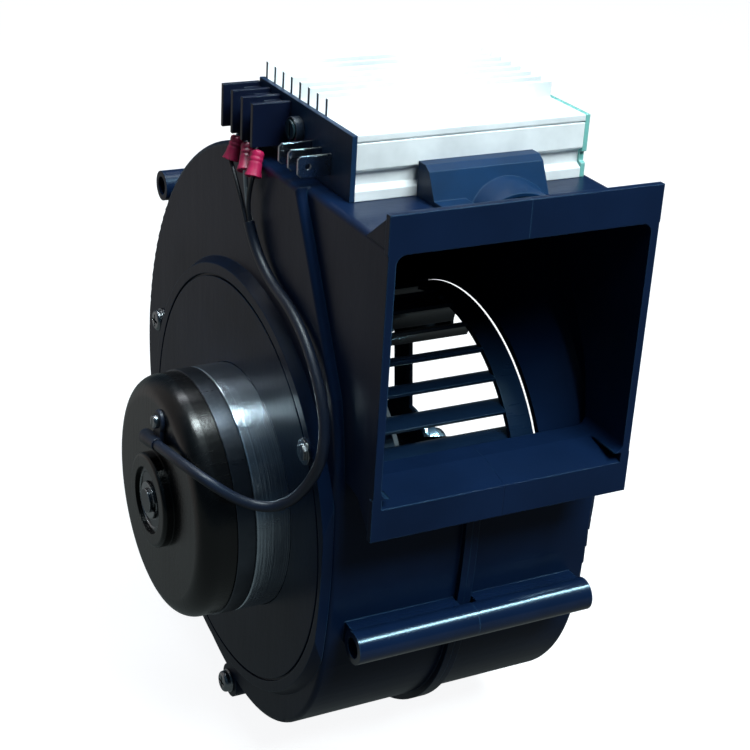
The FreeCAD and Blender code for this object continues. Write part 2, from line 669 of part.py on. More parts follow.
def terminal_sleeves():
    """Insulating barrels with a flared foot, bored for the neck and the wire."""
    sleeves = []
    for index in range(3):
        top, foot = sleeve_ends(index)
        up = top - foot
        length = up.Length
        up.normalize()
        flare = Part.makeCone(SLEEVE_FLARE, SLEEVE_RADIUS, length * 0.45, foot, up)
        barrel = Part.makeCylinder(SLEEVE_RADIUS, length * 0.42, foot + up * (length * 0.44), up)
        crown = Part.makeCone(SLEEVE_RADIUS, 1.4, length * 0.14, foot + up * (length * 0.86), up)
        points = [V(*p) for p in lead_route(index)[-2:]]
        entry = Part.makeCylinder(LEAD_DIAMETER / 2, 2.5, points[1], points[0] - points[1])
        sleeves.append(bite(join([flare, barrel, crown]), [fork_neck(index), entry]))
    return Part.makeCompound(sleeves)


def tab_terminals():
    """Three upright push-on tabs with bevelled ends and a small hole."""
    tabs = []
    for y in TAB_YS:
        x0 = BOX_X0 - TAB_LENGTH
        low = TAB_Z - TAB_WIDTH / 2
        high = TAB_Z + TAB_WIDTH / 2
        corners = [(BOX_X0, low), (x0 + 1, low), (x0, low + 1), (x0, high - 1), (x0 + 1, high), (BOX_X0, high)]
        points = [V(x, y - TAB_THICK / 2, z) for x, z in corners]
        plate = Part.Face(Part.makePolygon(points + points[:1])).extrude(V(0, TAB_THICK, 0))
        hole = Part.makeCylinder(0.9, 4, V(x0 + 3.2, y - 2, TAB_Z), V(0, 1, 0))
        tabs.append(plate.cut(hole))
    return Part.makeCompound(tabs)


def trim_pot_body():
    return pipe(POT_RADIUS + 0.9, POT_RADIUS + 0.25, BOX_X0 - 2.6, BOX_X0, (POT_Y, POT_Z))


def trim_pot_rotor():
    at = (POT_Y, POT_Z)
    knob = rod(POT_RADIUS, BOX_X0 - 3.2, BOX_X0 - 0.2, at)
    slot = box(BOX_X0 - 3.4, BOX_X0 - 2.2, POT_Y - 0.45, POT_Y + 0.45, POT_Z - 2.3, POT_Z + 2.3)
    return knob.cut(slot)


# ---- motor, standing parts ----
def motor_end_cap():
    """Round-edged cap with the outer bearing seat in its middle."""
    can = rod(CAP_RADIUS, CAP_FACE_X, CAP_REAR_X)

    def crown(edge):
        return abs(edge.BoundBox.XMax - CAP_FACE_X) < 0.01

    can = rounded(can, CAP_ROUND, crown)
    boss = rod(BOSS_RADIUS, CAP_FACE_X - BOSS_PROUD, CAP_FACE_X + 1)

    def boss_rim(edge):
        return abs(edge.BoundBox.XMax - CAP_FACE_X + BOSS_PROUD) < 0.01

    boss = rounded(boss, 1.2, boss_rim)
    seat = rod(BOSS_RADIUS, CAP_FACE_X, REAR_BEARING_X + BEARING_WIDTH + 1)
    room = rod(MOTOR_RADIUS - CAP_WALL, CAP_FACE_X + CAP_WALL, CAP_REAR_X + 1)
    shell = join([can.cut(room), boss, seat])
    tools = [rod(BEARING_OUTER, REAR_BEARING_X - 5, REAR_BEARING_X + BEARING_WIDTH)]
    tools += [rod(8.5, CAP_FACE_X - 11, CAP_FACE_X + 19), rod(1.3, CAP_FACE_X - 1, CAP_FACE_X + 6, CLAMP_SCREW)]
    return bite(shell, tools)


def cable_clamp_screw():
    x0 = CAP_FACE_X - EAR_THICK
    at = CLAMP_SCREW
    head = rod(CLAMP_HEAD, x0 - 1.7, x0, at)

    def crown(edge):
        return abs(edge.BoundBox.XMax - x0 + 1.7) < 0.01

    head = rounded(head, 0.8, crown)
    slot = box(x0 - 2, x0 - 1, at[0] - 0.4, at[0] + 0.4, at[1] - 1.5, at[1] + 1.5)
    return head.cut(slot).fuse(rod(1.28, x0 - 0.5, CAP_FACE_X + 5, at))


def cable_grommet():
    """Tapered boot on the cable, with an ear under the screw that holds it."""
    end = V(*CABLE_ROUTE[0])
    heading = (V(*CABLE_ROUTE[1]) - end).normalize()
    start = end - heading * GROMMET_LENGTH
    body = Part.makeCylinder(GROMMET_RADIUS, GROMMET_LENGTH, start, heading)
    boot = Part.makeCone(GROMMET_RADIUS, GROMMET_TIP, BOOT_LENGTH, end, heading)
    ear = rod(EAR_RADIUS, CAP_FACE_X - EAR_THICK, CAP_FACE_X, CLAMP_SCREW)

    def crown(edge):
        return abs(edge.BoundBox.XMax - CAP_FACE_X + EAR_THICK) < 0.01

    low, high = CLAMP_SCREW[0] - 2.6, CLAMP_SCREW[0] + 2.6
    tongue = box(CAP_FACE_X - EAR_THICK, CAP_FACE_X, low, high, end.z, CLAMP_SCREW[1])
    lump = join([body, Part.makeSphere(GROMMET_RADIUS, start), boot, rounded(ear, 0.7, crown), tongue])
    bore = Part.makeCylinder(CABLE_DIAMETER / 2, BOOT_LENGTH + 1, end, heading)
    return bite(lump, [bore, box(CAP_FACE_X, CAP_FACE_X + 30, -60, 60, -60, 60),
                       rod(1.3, CAP_FACE_X - 5, CAP_FACE_X + 1, CLAMP_SCREW)])


def brush_ring():
    return pipe(MOTOR_RADIUS, MOTOR_RADIUS - CAN_WALL, CAP_REAR_X, RING_REAR_X)


def motor_can():
    """Steel can, drawn with a chamfered rear edge and a closed front."""
    r = MOTOR_RADIUS
    x0 = RING_REAR_X
    x1 = CAN_END_X
    seat = FRONT_BEARING_X
    outline = [
        (x0, r - CAN_WALL), (x0, r - 0.6), (x0 + 0.6, r), (x1 - 3, r), (x1, r - 3), (x1, 7.0),
        (seat + BEARING_WIDTH, 7.0), (seat + BEARING_WIDTH, BEARING_OUTER), (seat, BEARING_OUTER),
        (seat, BEARING_OUTER + 2), (x1 - 2.5, BEARING_OUTER + 2), (x1 - 2.5, r - CAN_WALL),
    ]
    return spun(outline)


def motor_mount_plate():
    """Ring on the can behind the housing wall, with a lug at each screw."""
    x0 = -SCROLL_HALF - DISC_PROUD + WALL
    x1 = x0 + MOUNT_PLATE_THICK
    lugs = [rod(7.5, x0, x1, at) for at in mount_points()]
    limit = rod(DISC_TOP - 1.4, x0 - 1, x1 + 1, DISC_CENTRE).common(scroll_block(WALL + 0.4, x0 - 1, x1 + 1))
    plate = join([rod(MOUNT_SCREW_RADIUS - 5.5, x0, x1)] + lugs).common(limit)
    tools = [rod(MOTOR_RADIUS, x0 - 1, x1 + 1)]
    tools += [rod(1.8, x0 - 1, x1 + 1, at) for at in mount_points()]
    return bite(plate, tools)


def motor_mount_screws():
    seat = -SCROLL_HALF - DISC_PROUD - 0.6
    screws = []
    for at in mount_points():
        washer = rod(MOUNT_WASHER, seat - 0.6, seat, at)
        head = hexagon(4.8, seat - 1.5, seat - 0.6, at)
        screws.append(join([washer, head, rod(1.78, seat - 1, seat + 8, at)]))
    return Part.makeCompound(screws)


def magnets():
    """Two curved magnets, one on each side of the armature."""
    x0 = CORE_X0 - 7.0
    x1 = CORE_X1 + 5.5
    ring = pipe(MOTOR_RADIUS - CAN_WALL, CORE_RADIUS + AIR_GAP, x0, x1)
    gap = 35
    wedges = []
    for side in (1, -1):
        points = [(0, 0), around(60, 90 - gap), (0, 60), around(60, 90 + gap)]
        wedges.append(slab([(y, z * side) for y, z in points], x0 - 1, x1 + 1))
    return bite(ring, wedges)


def bearing_outer(x0):
    outer = pipe(BEARING_OUTER, BEARING_OUTER - RACE_THICK, x0, x0 + BEARING_WIDTH)
    shield = pipe(BEARING_OUTER - RACE_THICK, BEARING_BORE + RACE_THICK + 0.4, x0 + 0.3, x0 + 0.8)
    other = shield.copy()
    other.translate(V(BEARING_WIDTH - 1.1, 0, 0))
    return join([outer, shield, other])


def bearing_inner(x0):
    return pipe(BEARING_BORE + RACE_THICK, BEARING_BORE, x0, x0 + BEARING_WIDTH)


def bearing_cage(x0):
    """Balls held by a thin ring on the side away from the impeller."""
    track = (BEARING_OUTER + BEARING_BORE) / 2
    ball = (BEARING_OUTER - BEARING_BORE) / 2 - RACE_THICK - BALL_GAP
    middle = x0 + BEARING_WIDTH / 2
    parts = [pipe(track + 0.55, track - 0.55, middle - ball - 0.2, middle - ball + 0.7)]
    for k in range(BALL_COUNT):
        y, z = around(track, 360.0 * k / BALL_COUNT)
        parts.append(Part.makeSphere(ball, V(middle, y, z)))
    return join(parts)


def brush_plate():
    """Insulating ring that carries the brush holders."""
    return pipe(MOTOR_RADIUS - CAN_WALL - 0.05, COMMUTATOR_RADIUS + 2.5, BRUSH_X1 - 0.4, BRUSH_X1 + 1.2)


def brush_holders():
    holders = []
    for side in (1, -1):
        z0, z1 = sorted((side * 14.0, side * HOLDER_END))
        outer = box(BRUSH_X0 - 1, BRUSH_X1 - 0.4, -BRUSH_HALF - 1, BRUSH_HALF + 1, z0, z1)
        low, high = sorted((side * 13.0, side * (HOLDER_END - 1)))
        inner = box(BRUSH_X0 - 0.1, BRUSH_X1 - 1.2, -BRUSH_HALF - 0.1, BRUSH_HALF + 0.1, low, high)
        holders.append(outer.cut(inner))
    return Part.makeCompound(holders)


def brush(side):
    z0, z1 = sorted((side * 10.0, side * BRUSH_TOP))
    block = box(BRUSH_X0, BRUSH_X1 - 1.3, -BRUSH_HALF, BRUSH_HALF, z0, z1)
    return block.cut(rod(COMMUTATOR_RADIUS + 0.08, BRUSH_X0 - 1, BRUSH_X1 + 1))


def brush_spring(side):
    """Coil spring between a brush and the end of its holder."""
    middle = (BRUSH_X0 + BRUSH_X1 - 1.3) / 2
    height = HOLDER_END - 1.1 - BRUSH_TOP - 0.9
    helix = Part.makeHelix(height / 5, height, 2.2)
    section = Part.Wire(Part.makeCircle(0.35, V(2.2, 0, 0), V(0, 1, 0)))
    coil = Part.Wire(helix.Edges).makePipeShell([section], True, True)
    coil.translate(V(middle, 0, BRUSH_TOP + 0.45))
    if side < 0:
        coil.rotate(V(middle, 0, 0), V(1, 0, 0), 180)
    return coil


# ---- rotor ----
def shaft():
    body = rod(SHAFT_RADIUS, SHAFT_X0, SHAFT_X1)
    groove = pipe(SHAFT_RADIUS + 1, SHAFT_RADIUS - 0.5, REAR_BEARING_X - RETAINER_THICK, REAR_BEARING_X)
    return body.cut(groove)


def retaining_ring():
    """Open spring ring on the shaft end, against the inner race."""
    ring = pipe(6.0, SHAFT_RADIUS - 0.5, REAR_BEARING_X - RETAINER_THICK, REAR_BEARING_X)
    return ring.cut(box(SHAFT_X0 - 2, SHAFT_X0 + 2, -8, 0, -1.6, 1.6))


def armature_core():
    """Slotted lamination stack."""
    core = pipe(CORE_RADIUS, SHAFT_RADIUS, CORE_X0, CORE_X1)
    tools = []
    for k in range(SLOTS):
        hole = rod(4.2, CORE_X0 - 1, CORE_X1 + 1, (CORE_RADIUS - 7.5, 0))
        mouth = box(CORE_X0 - 1, CORE_X1 + 1, CORE_RADIUS - 6, CORE_RADIUS + 2, -1.1, 1.1)
        tool = hole.fuse(mouth)
        tool.rotate(V(0, 0, 0), V(1, 0, 0), 360.0 * k / SLOTS)
        tools.append(tool)
    return bite(core, tools)


def armature_windings():
    """Copper in the slots and the rounded coil heads at both ends."""
    parts = []
    for k in range(SLOTS):
        y, z = around(CORE_RADIUS - 7.5, 360.0 * k / SLOTS)
        parts.append(rod(3.9, CORE_X0 - 1.5, CORE_X1 + 1.5, (y, z)))
    for x0, x1 in ((CORE_X0 - 7.5, CORE_X0 - 0.3), (CORE_X1 + 0.3, CORE_X1 + 5.2)):
        head = pipe(CORE_RADIUS - 2.6, 12.5, x0, x1)
        parts.append(rounded(head, 1.8, lambda edge: edge.Curve.TypeId == "Part::GeomCircle"))
    return join(parts)


def commutator():
    """Segmented copper drum on the shaft."""
    drum = pipe(COMMUTATOR_RADIUS, SHAFT_RADIUS, COMMUTATOR_X0, COMMUTATOR_X1)
    tools = []
    for k in range(SLOTS):
        cut = box(COMMUTATOR_X0 - 1, COMMUTATOR_X1 - 1.5, COMMUTATOR_RADIUS - 1.6, COMMUTATOR_RADIUS + 1, -0.25, 0.25)
        cut.rotate(V(0, 0, 0), V(1, 0, 0), 360.0 * (k + 0.5) / SLOTS)
        tools.append(cut)
    return bite(drum, tools)


def blade_outline():
    """One forward-curved blade: a strip between two arcs of one centre."""
    def at(radius, degrees):
        y, z = around(radius, degrees)
        return V(0, y, z)

    inner = at(BLADE_INNER + 0.6, 0)
    middle = at((BLADE_INNER + WHEEL_RADIUS) / 2, BLADE_SWEEP * 0.26)
    outer = at(WHEEL_RADIUS - 0.5, BLADE_SWEEP)
    arc = Part.Arc(inner, middle, outer)
    centre = arc.toShape().Curve.Center
    sides = []
    for grow in (BLADE_THICK / 2, -BLADE_THICK / 2):
        points = [p + (p - centre).normalize() * grow for p in (inner, middle, outer)]
        sides.append(points)
    a, b = sides
    edges = [
        Part.Arc(*a).toShape(),
        Part.makeLine(a[2], b[2]),
        Part.Arc(*b[::-1]).toShape(),
        Part.makeLine(b[0], a[0]),
    ]
    return Part.Face(Part.Wire(edges))


def impeller_blades():
    face = blade_outline()
    face.translate(V(BLADE_X0, 0, 0))
    strip = face.extrude(V(BLADE_X1 - BLADE_X0, 0, 0))
    strip = strip.cut(pipe(HOOP_OUTER + 5, HOOP_OUTER - HOOP_THICK, HOOP_START, RING_END_X))
    blades = []
    for k in range(BLADE_COUNT):
        blade = strip.copy()
        blade.rotate(V(0, 0, 0), V(1, 0, 0), BLADE_PHASE + 360.0 * k / BLADE_COUNT)
        blades.append(blade)
    return Part.makeCompound(blades)


def impeller_ring_inlet():
    """Hoop round the ends of the blades, open inside, reaching towards the inlet."""
    return pipe(HOOP_OUTER, HOOP_OUTER - HOOP_THICK, HOOP_START, RING_END_X)


def impeller_ring_motor():
    web = pipe(HOOP_OUTER, BLADE_INNER, BLADE_X0 - RING_WEB, BLADE_X0)
    hoop = pipe(HOOP_OUTER, HOOP_OUTER - HOOP_THICK, BLADE_X0 - 3.4, BLADE_X0)
    return join([web, hoop])


def impeller_disc():
    """Carrier with five spokes, each bent towards the inlet and on to the hoop."""
    x0 = DISC_X
    x1 = DISC_X + DISC_THICK
    reach = BLADE_INNER - 1.8
    seat = BLADE_X1
    bore = rod(HOOP_OUTER - HOOP_THICK, seat, seat + DISC_THICK)
    half = SPOKE_WIDTH / 2
    parts = [rod(HUB_FLANGE + 2, x0, x1)]
    for k in range(SPOKES):
        arm = box(x0, x1, 0, reach, -half, half)
        leg = box(x0, seat + DISC_THICK, reach - DISC_THICK, reach, -half, half)
        foot = box(seat, seat + DISC_THICK, reach - DISC_THICK, HOOP_OUTER, -half, half)
        spoke = join([arm, leg, foot.common(bore)])
        spoke.rotate(V(0, 0, 0), V(1, 0, 0), SPOKE_ANGLE + 360.0 * k / SPOKES)
        parts.append(spoke)
    return join(parts).cut(rod(HUB_RADIUS, x0 - 1, x1 + 1))


def impeller_hub():
    """Bush with a flange against the carrier disc."""
    x1 = DISC_X + DISC_THICK
    body = rod(HUB_RADIUS, CAN_END_X + 4.5, NUT_X)
    flange = rod(HUB_FLANGE, x1, x1 + 2.2)
    return join([body, flange]).cut(rod(SHAFT_RADIUS, SHAFT_X0, SHAFT_X1))


def shaft_nut():
    nut = hexagon(NUT_ACROSS, NUT_X, NUT_X + NUT_THICK, (0.0, 0.0))
    crown = Part.makeCone(NUT_ACROSS / 2 + 1.6, NUT_ACROSS / 2 - 0.4, 5.0, V(NUT_X - 0.2, 0, 0), V(1, 0, 0))
    return nut.common(crown).cut(rod(SHAFT_RADIUS, SHAFT_X0, SHAFT_X1))


# ---- cords ----
def cord(points, diameter, name):
    """Round cord along straight runs joined by tangent arcs."""
    corners = [V(*p) for p in points]
    edges = []
    start = corners[0]
    length = 0.0
    radii = []
    for before, here, after in zip(corners, corners[1:], corners[2:]):
        into = (here - before).normalize()
        out = (after - here).normalize()
        turn = into.getAngle(out)
        tangent = 0.45 * min((here - before).Length, (after - here).Length)
        radius = tangent / math.tan(turn / 2)
        entry = here - into * tangent
        leave = here + out * tangent
        side = (out - into).normalize()
        centre = here + side * (radius / math.cos(turn / 2))
        middle = centre - side * radius
        edges.append(Part.LineSegment(start, entry).toShape())
        edges.append(Part.Arc(entry, middle, leave).toShape())
        length += (entry - start).Length + radius * turn
        radii.append(round(radius, 1))
        start = leave
    edges.append(Part.LineSegment(start, corners[-1]).toShape())
    length += (corners[-1] - start).Length
    path = Part.Wire(edges)
    heading = corners[1] - corners[0]
    section = Part.Wire(Part.makeCircle(diameter / 2, corners[0], heading))
    tube = path.makePipeShell([section], True, False)
    ideal = math.pi * diameter * diameter / 4 * length
    print(name, "length", round(length, 1), "radii", radii, "volume ratio", round(tube.Volume / ideal, 4))
    return tube


def motor_cable():
    return cord(CABLE_ROUTE, CABLE_DIAMETER, "motor_cable")


def lead_route(index):
    """From the end of the sheath up into the foot of one sleeve."""
    end = V(*CABLE_ROUTE[-1])
    heading = (end - V(*CABLE_ROUTE[-2])).normalize()
    side = V(1, 0, 0)
    across = heading.cross(side).normalize()
    angle = math.radians(90 - 120 * index)
    start = end + heading * 0.1 + side * (0.82 * math.cos(angle)) + across * (-0.82 * math.sin(angle))
    bend = start + heading * LEAD_RISES[index]
    foot = sleeve_ends(index)[1]
    inside = foot + (foot - bend).normalize() * 0.8
    return [tuple(start), tuple(bend), tuple(inside)]


def lead_wire(index):
    return cord(lead_route(index), LEAD_DIAMETER, "lead_wire_%d" % (index + 1))


def build():
    return {
        "housing_motor_side": housing_motor_side(),
        "housing_inlet_side": housing_inlet_side(),
        "case_screws": case_screws(),
        "controller_clip_front": controller_clip_front(),
        "controller_clip_rear": controller_clip_rear(),
        "clip_screws": clip_screws(),
        "heat_sink": heat_sink(),
        "end_plate_black": end_plate_black(),
        "end_plate_clear": end_plate_clear(),
        "controller_board": controller_board(),
        "capacitors": capacitors(),
        "power_transistors": power_transistors(),
        "terminal_block": terminal_block(),
        "terminal_plates": terminal_plates(),
        "terminal_screws": terminal_screws(),
        "fork_terminals": fork_terminals(),
        "terminal_sleeves": terminal_sleeves(),
        "tab_terminals": tab_terminals(),
        "trim_pot_body": trim_pot_body(),
        "trim_pot_rotor": trim_pot_rotor(),
        "motor_end_cap": motor_end_cap(),
        "cable_clamp_screw": cable_clamp_screw(),
        "cable_grommet": cable_grommet(),
        "brush_ring": brush_ring(),
        "motor_can": motor_can(),
        "motor_mount_plate": motor_mount_plate(),
        "motor_mount_screws": motor_mount_screws(),
        "magnets": magnets(),
        "rear_bearing_outer": bearing_outer(REAR_BEARING_X),
        "rear_bearing_inner": bearing_inner(REAR_BEARING_X),
        "rear_bearing_cage": bearing_cage(REAR_BEARING_X),
        "front_bearing_outer": bearing_outer(FRONT_BEARING_X),
        "front_bearing_inner": bearing_inner(FRONT_BEARING_X),
        "front_bearing_cage": bearing_cage(FRONT_BEARING_X),
        "brush_plate": brush_plate(),
        "brush_holders": brush_holders(),
        "brush_upper": brush(1),
        "brush_lower": brush(-1),
        "brush_spring_upper": brush_spring(1),
        "brush_spring_lower": brush_spring(-1),
        "shaft": shaft(),
        "retaining_ring": retaining_ring(),
        "armature_core": armature_core(),
        "armature_windings": armature_windings(),
        "commutator": commutator(),
        "impeller_blades": impeller_blades(),
        "impeller_ring_inlet": impeller_ring_inlet(),
        "impeller_ring_motor": impeller_ring_motor(),
        "impeller_disc": impeller_disc(),
        "impeller_hub": impeller_hub(),
        "shaft_nut": shaft_nut(),
        "motor_cable": motor_cable(),
        "lead_wire_1": lead_wire(0),
        "lead_wire_2": lead_wire(1),
        "lead_wire_3": lead_wire(2),
    }


os.makedirs("parts", exist_ok=True)
for node, shape in build().items():
    shape.translate(V(0, -TUBE_FRONT[0], -TUBE_FRONT[1]))
    shape.exportStep("parts/%s.step" % node)
    print(node, "solids", len(shape.Solids), "valid", shape.isValid(), "volume", round(shape.Volume, 1))
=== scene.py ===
"""Looks of the dc blower fan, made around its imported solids."""
import json
import math

import bpy
import numpy as np
from mathutils import Matrix, Vector


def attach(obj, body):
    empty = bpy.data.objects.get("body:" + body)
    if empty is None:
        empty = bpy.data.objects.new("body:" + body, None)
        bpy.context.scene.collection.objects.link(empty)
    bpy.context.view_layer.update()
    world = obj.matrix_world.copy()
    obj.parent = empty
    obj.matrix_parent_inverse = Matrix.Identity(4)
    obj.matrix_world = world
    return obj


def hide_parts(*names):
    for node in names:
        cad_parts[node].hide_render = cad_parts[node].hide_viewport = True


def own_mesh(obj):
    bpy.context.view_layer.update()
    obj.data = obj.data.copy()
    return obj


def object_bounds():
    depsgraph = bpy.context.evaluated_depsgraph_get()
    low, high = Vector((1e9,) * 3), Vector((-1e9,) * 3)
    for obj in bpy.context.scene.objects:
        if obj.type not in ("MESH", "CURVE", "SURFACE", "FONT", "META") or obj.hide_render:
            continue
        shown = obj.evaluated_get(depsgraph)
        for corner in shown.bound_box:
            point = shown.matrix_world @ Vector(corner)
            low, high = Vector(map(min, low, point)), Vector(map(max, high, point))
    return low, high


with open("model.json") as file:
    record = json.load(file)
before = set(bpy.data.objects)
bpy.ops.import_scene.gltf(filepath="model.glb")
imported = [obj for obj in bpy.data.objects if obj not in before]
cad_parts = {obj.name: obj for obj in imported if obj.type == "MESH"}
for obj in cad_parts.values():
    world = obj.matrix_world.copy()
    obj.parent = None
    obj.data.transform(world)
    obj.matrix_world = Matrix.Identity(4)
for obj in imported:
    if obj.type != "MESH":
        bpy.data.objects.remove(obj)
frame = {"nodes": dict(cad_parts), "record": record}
cad_box = [list(corner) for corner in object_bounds()]
nodes = frame["nodes"]
scene = bpy.context.scene

# A point of the fan axis in the row frame. New pieces are described about it, in millimetres.
FAN_AXIS = np.array([0.0, 68.4, 23.7])

# The camera fitted to the picture, in degrees, millimetres and picture points. CAMERA_SHIFT is
# where that point of the fan axis lies from the camera: to the right, down and ahead.
CAMERA_TURN = 28.4
CAMERA_RISE = 24.79
CAMERA_ROLL = -3.52
CAMERA_SHIFT = np.array([0.73, 27.94, 573.22])
FOCAL_POINTS = 1687.47
PICTURE_POINTS = 750
SENSOR_WIDTH = 36.0

SOFT_WHITE = (0.85, 0.98, 1.0)
FLOOR_GAP = 0.0006
EDGE_ROUND = 0.0006
RELIEF_ROUND = 0.0005
TUBE_RUBBED = (0.0058, 0.0072)


def place(points):
    """Points about the fan axis, in millimetres, as points of the row frame in metres."""
    return (np.asarray(points, float) + FAN_AXIS) / 1000.0


def set_camera():
    """Pinhole camera at the picture's angle: turned round the fan, raised and a little rolled."""
    turn, rise, roll = (math.radians(angle) for angle in (CAMERA_TURN, CAMERA_RISE, CAMERA_ROLL))
    ahead = np.array([math.sin(turn) * math.cos(rise), math.cos(turn) * math.cos(rise), -math.sin(rise)])
    right = np.array([math.cos(turn), -math.sin(turn), 0.0])
    down = np.cross(ahead, right)
    axes = np.array([
        math.cos(roll) * right + math.sin(roll) * down,
        -math.sin(roll) * right + math.cos(roll) * down,
        ahead,
    ])
    eye = place(-axes.T @ CAMERA_SHIFT)
    data = bpy.data.cameras.new("camera")
    data.sensor_width = SENSOR_WIDTH
    data.lens = FOCAL_POINTS / PICTURE_POINTS * SENSOR_WIDTH
    data.clip_start = 0.01
    camera = bpy.data.objects.new("camera", data)
    scene.collection.objects.link(camera)
    world = Matrix.Identity(4)
    for row in range(3):
        world[row][0] = axes[0][row]
        world[row][1] = -axes[1][row]
        world[row][2] = -axes[2][row]
        world[row][3] = eye[row]
    camera.matrix_world = world
    scene.camera = camera


def area_light(name, at, toward, size, power, tint, streak):
    """Rectangular lamp at a point, turned to another point, both in metres; its long side lies level.

    A streak lamp is only seen in shiny surfaces, any other lamp only lights dull ones.
    """
    data = bpy.data.lights.new(name, "AREA")
    data.shape = "RECTANGLE"
    data.size, data.size_y = size
    data.energy = power
    data.color = tint
    lamp = bpy.data.objects.new(name, data)
    lamp.location = at
    aim = Vector(toward) - Vector(at)
    lamp.rotation_euler = aim.to_track_quat("-Z", "Y").to_euler()
    lamp.visible_glossy = streak
    lamp.visible_diffuse = not streak
    scene.collection.objects.link(lamp)


def dim_surround(tree):
    """Colour and strength of the light that comes to the fan from each direction.

    It is pale from below, warm from the left behind, brighter from straight above and dark blue
    from elsewhere.
    """
    direction = tree.nodes.new("ShaderNodeTexCoord")
    split = tree.nodes.new("ShaderNodeSeparateXYZ")
    tree.links.new(direction.outputs["Generated"], split.inputs[0])
    x, y, z = (split.outputs[axis] for axis in "XYZ")
    below = ramp(tree, z, 0.0, -0.12)
    left = math_node(tree, "MULTIPLY", ramp(tree, x, 0.0, -0.4), ramp(tree, y, 0.1, 0.5))
    left = math_node(tree, "MULTIPLY", left, ramp(tree, z, -0.56, -0.34))
    top = ramp(tree, z, 0.5, 1.0)
    tint = mixed(tree, below, (0.4, 0.7, 1.0, 1), (0.82, 0.98, 1.0, 1))
    tint = mixed(tree, left, tint, (1.0, 0.95, 0.93, 1))
    strength = 0.06
    for part, weight in ((below, 0.09), (left, 0.2), (top, 0.15)):
        strength = math_node(tree, "ADD", math_node(tree, "MULTIPLY", part, weight), strength)
    return tint, strength


def set_lights():
    """White surround for the camera, a dim one for the fan, two soft lamps and three narrow bright strips.

    The soft lamps carry the diffuse light and the strips make the streaks on bare metal and on
    the front clamp tube.
    """
    world = bpy.data.worlds.new("pale surround")
    scene.world = world
    world.use_nodes = True
    tree = world.node_tree
    background = tree.nodes["Background"]
    tint, strength = dim_surround(tree)
    tree.links.new(tint, background.inputs["Color"])
    tree.links.new(strength, background.inputs["Strength"])
    bright = tree.nodes.new("ShaderNodeBackground")
    bright.inputs["Strength"].default_value = 1.05
    path = tree.nodes.new("ShaderNodeLightPath")
    mix = tree.nodes.new("ShaderNodeMixShader")
    tree.links.new(path.outputs["Is Camera Ray"], mix.inputs["Fac"])
    tree.links.new(background.outputs[0], mix.inputs[1])
    tree.links.new(bright.outputs[0], mix.inputs[2])
    tree.links.new(mix.outputs[0], tree.nodes["World Output"].inputs["Surface"])
    area_light("soft front", (0.2, -0.55, 0.95), (0, 0, 0.05), (0.6, 0.5), 23.0, SOFT_WHITE, False)
    area_light("soft above", (-0.02, 0.13, 0.85), (0, 0.07, 0.1), (0.45, 0.4), 4.2, SOFT_WHITE, False)
    area_light("strip above", (0, 0.075, 0.82), (0, 0.07, 0.03), (0.5, 0.09), 6.5, SOFT_WHITE, True)
    area_light("strip in front", (0.4, -0.3, 0.78), (0, 0, 0), (0.5, 0.04), 8.0, (0.5, 0.85, 1.0), True)
    area_light("strip behind", (0, 0.53, 0.7), (0, 0.07, 0.03), (0.5, 0.05), 1.1, (0.9, 0.95, 1.0), True)
    scene.view_settings.view_transform = "Standard"
    scene.view_settings.look = "None"


def make_floor():
    """Pale floor just under the lowest point of the housing, curved up far behind."""
    u = np.linspace(-1.6, 1.6, 9)
    v = np.linspace(-1.4, 3.0, 45)
    across, along = np.meshgrid(u, v, indexing="ij")
    rise = np.where(along > 1.2, (along - 1.2) ** 2 * 0.6, 0.0)
    low = cad_box[0][2] - FLOOR_GAP
    floor = grid_mesh("floor", [np.dstack([across, along, low + rise])])
    floor.data.materials.append(floor_paint())
    floor.visible_diffuse = False
    floor.visible_glossy = False


def grid_faces(nu, nv, start, wrap):
    """Faces of a grid of nu by nv points, the first of which has the number start.

    wrap joins the last row to the first, and closes the first and last column with one face each.
    """
    index = np.arange(start, start + nu * nv).reshape(nu, nv)
    rows = np.vstack([index, index[:1]]) if wrap else index
    quads = np.stack([rows[:-1, :-1], rows[1:, :-1], rows[1:, 1:], rows[:-1, 1:]], axis=-1)
    faces = quads.reshape(-1, 4).tolist()
    if wrap:
        faces += [index[::-1, 0].tolist(), index[:, -1].tolist()]
    return faces


def grid_mesh(name, grids, wrap=False):
    """Smooth mesh of one or more sheets, each a grid of points (u, v, xyz) in metres."""
    faces = []
    start = 0
    for grid in grids:
        nu, nv = grid.shape[:2]
        faces += grid_faces(nu, nv, start, wrap)
        start += nu * nv
    points = np.vstack([grid.reshape(-1, 3) for grid in grids])
    mesh = bpy.data.meshes.new(name)
    mesh.from_pydata(points.tolist(), [], faces)
    mesh.polygons.foreach_set("use_smooth", np.ones(len(faces), bool))
    mesh.update()
    item = bpy.data.objects.new(name, mesh)
    scene.collection.objects.link(item)
    return item


def turned(profile, base, along, steps):
    """Profile of (distance along, radius) pairs turned round a line.

    Each point is base + along * distance + radius * (cos t * side + sin t * up).
    """
    profile = np.asarray(profile, float)
    along = np.asarray(along, float) / np.linalg.norm(along)
    helper = np.array([0.0, 1.0, 0.0]) if abs(along[1]) < 0.9 else np.array([1.0, 0.0, 0.0])
    side = np.cross(along, helper)
    side /= np.linalg.norm(side)
    up = np.cross(along, side)
    t = np.linspace(0, 2 * math.pi, steps, endpoint=False)[:, None, None]
    ring = np.cos(t) * side + np.sin(t) * up
    return base + profile[None, :, :1] * along + profile[None, :, 1:] * ring


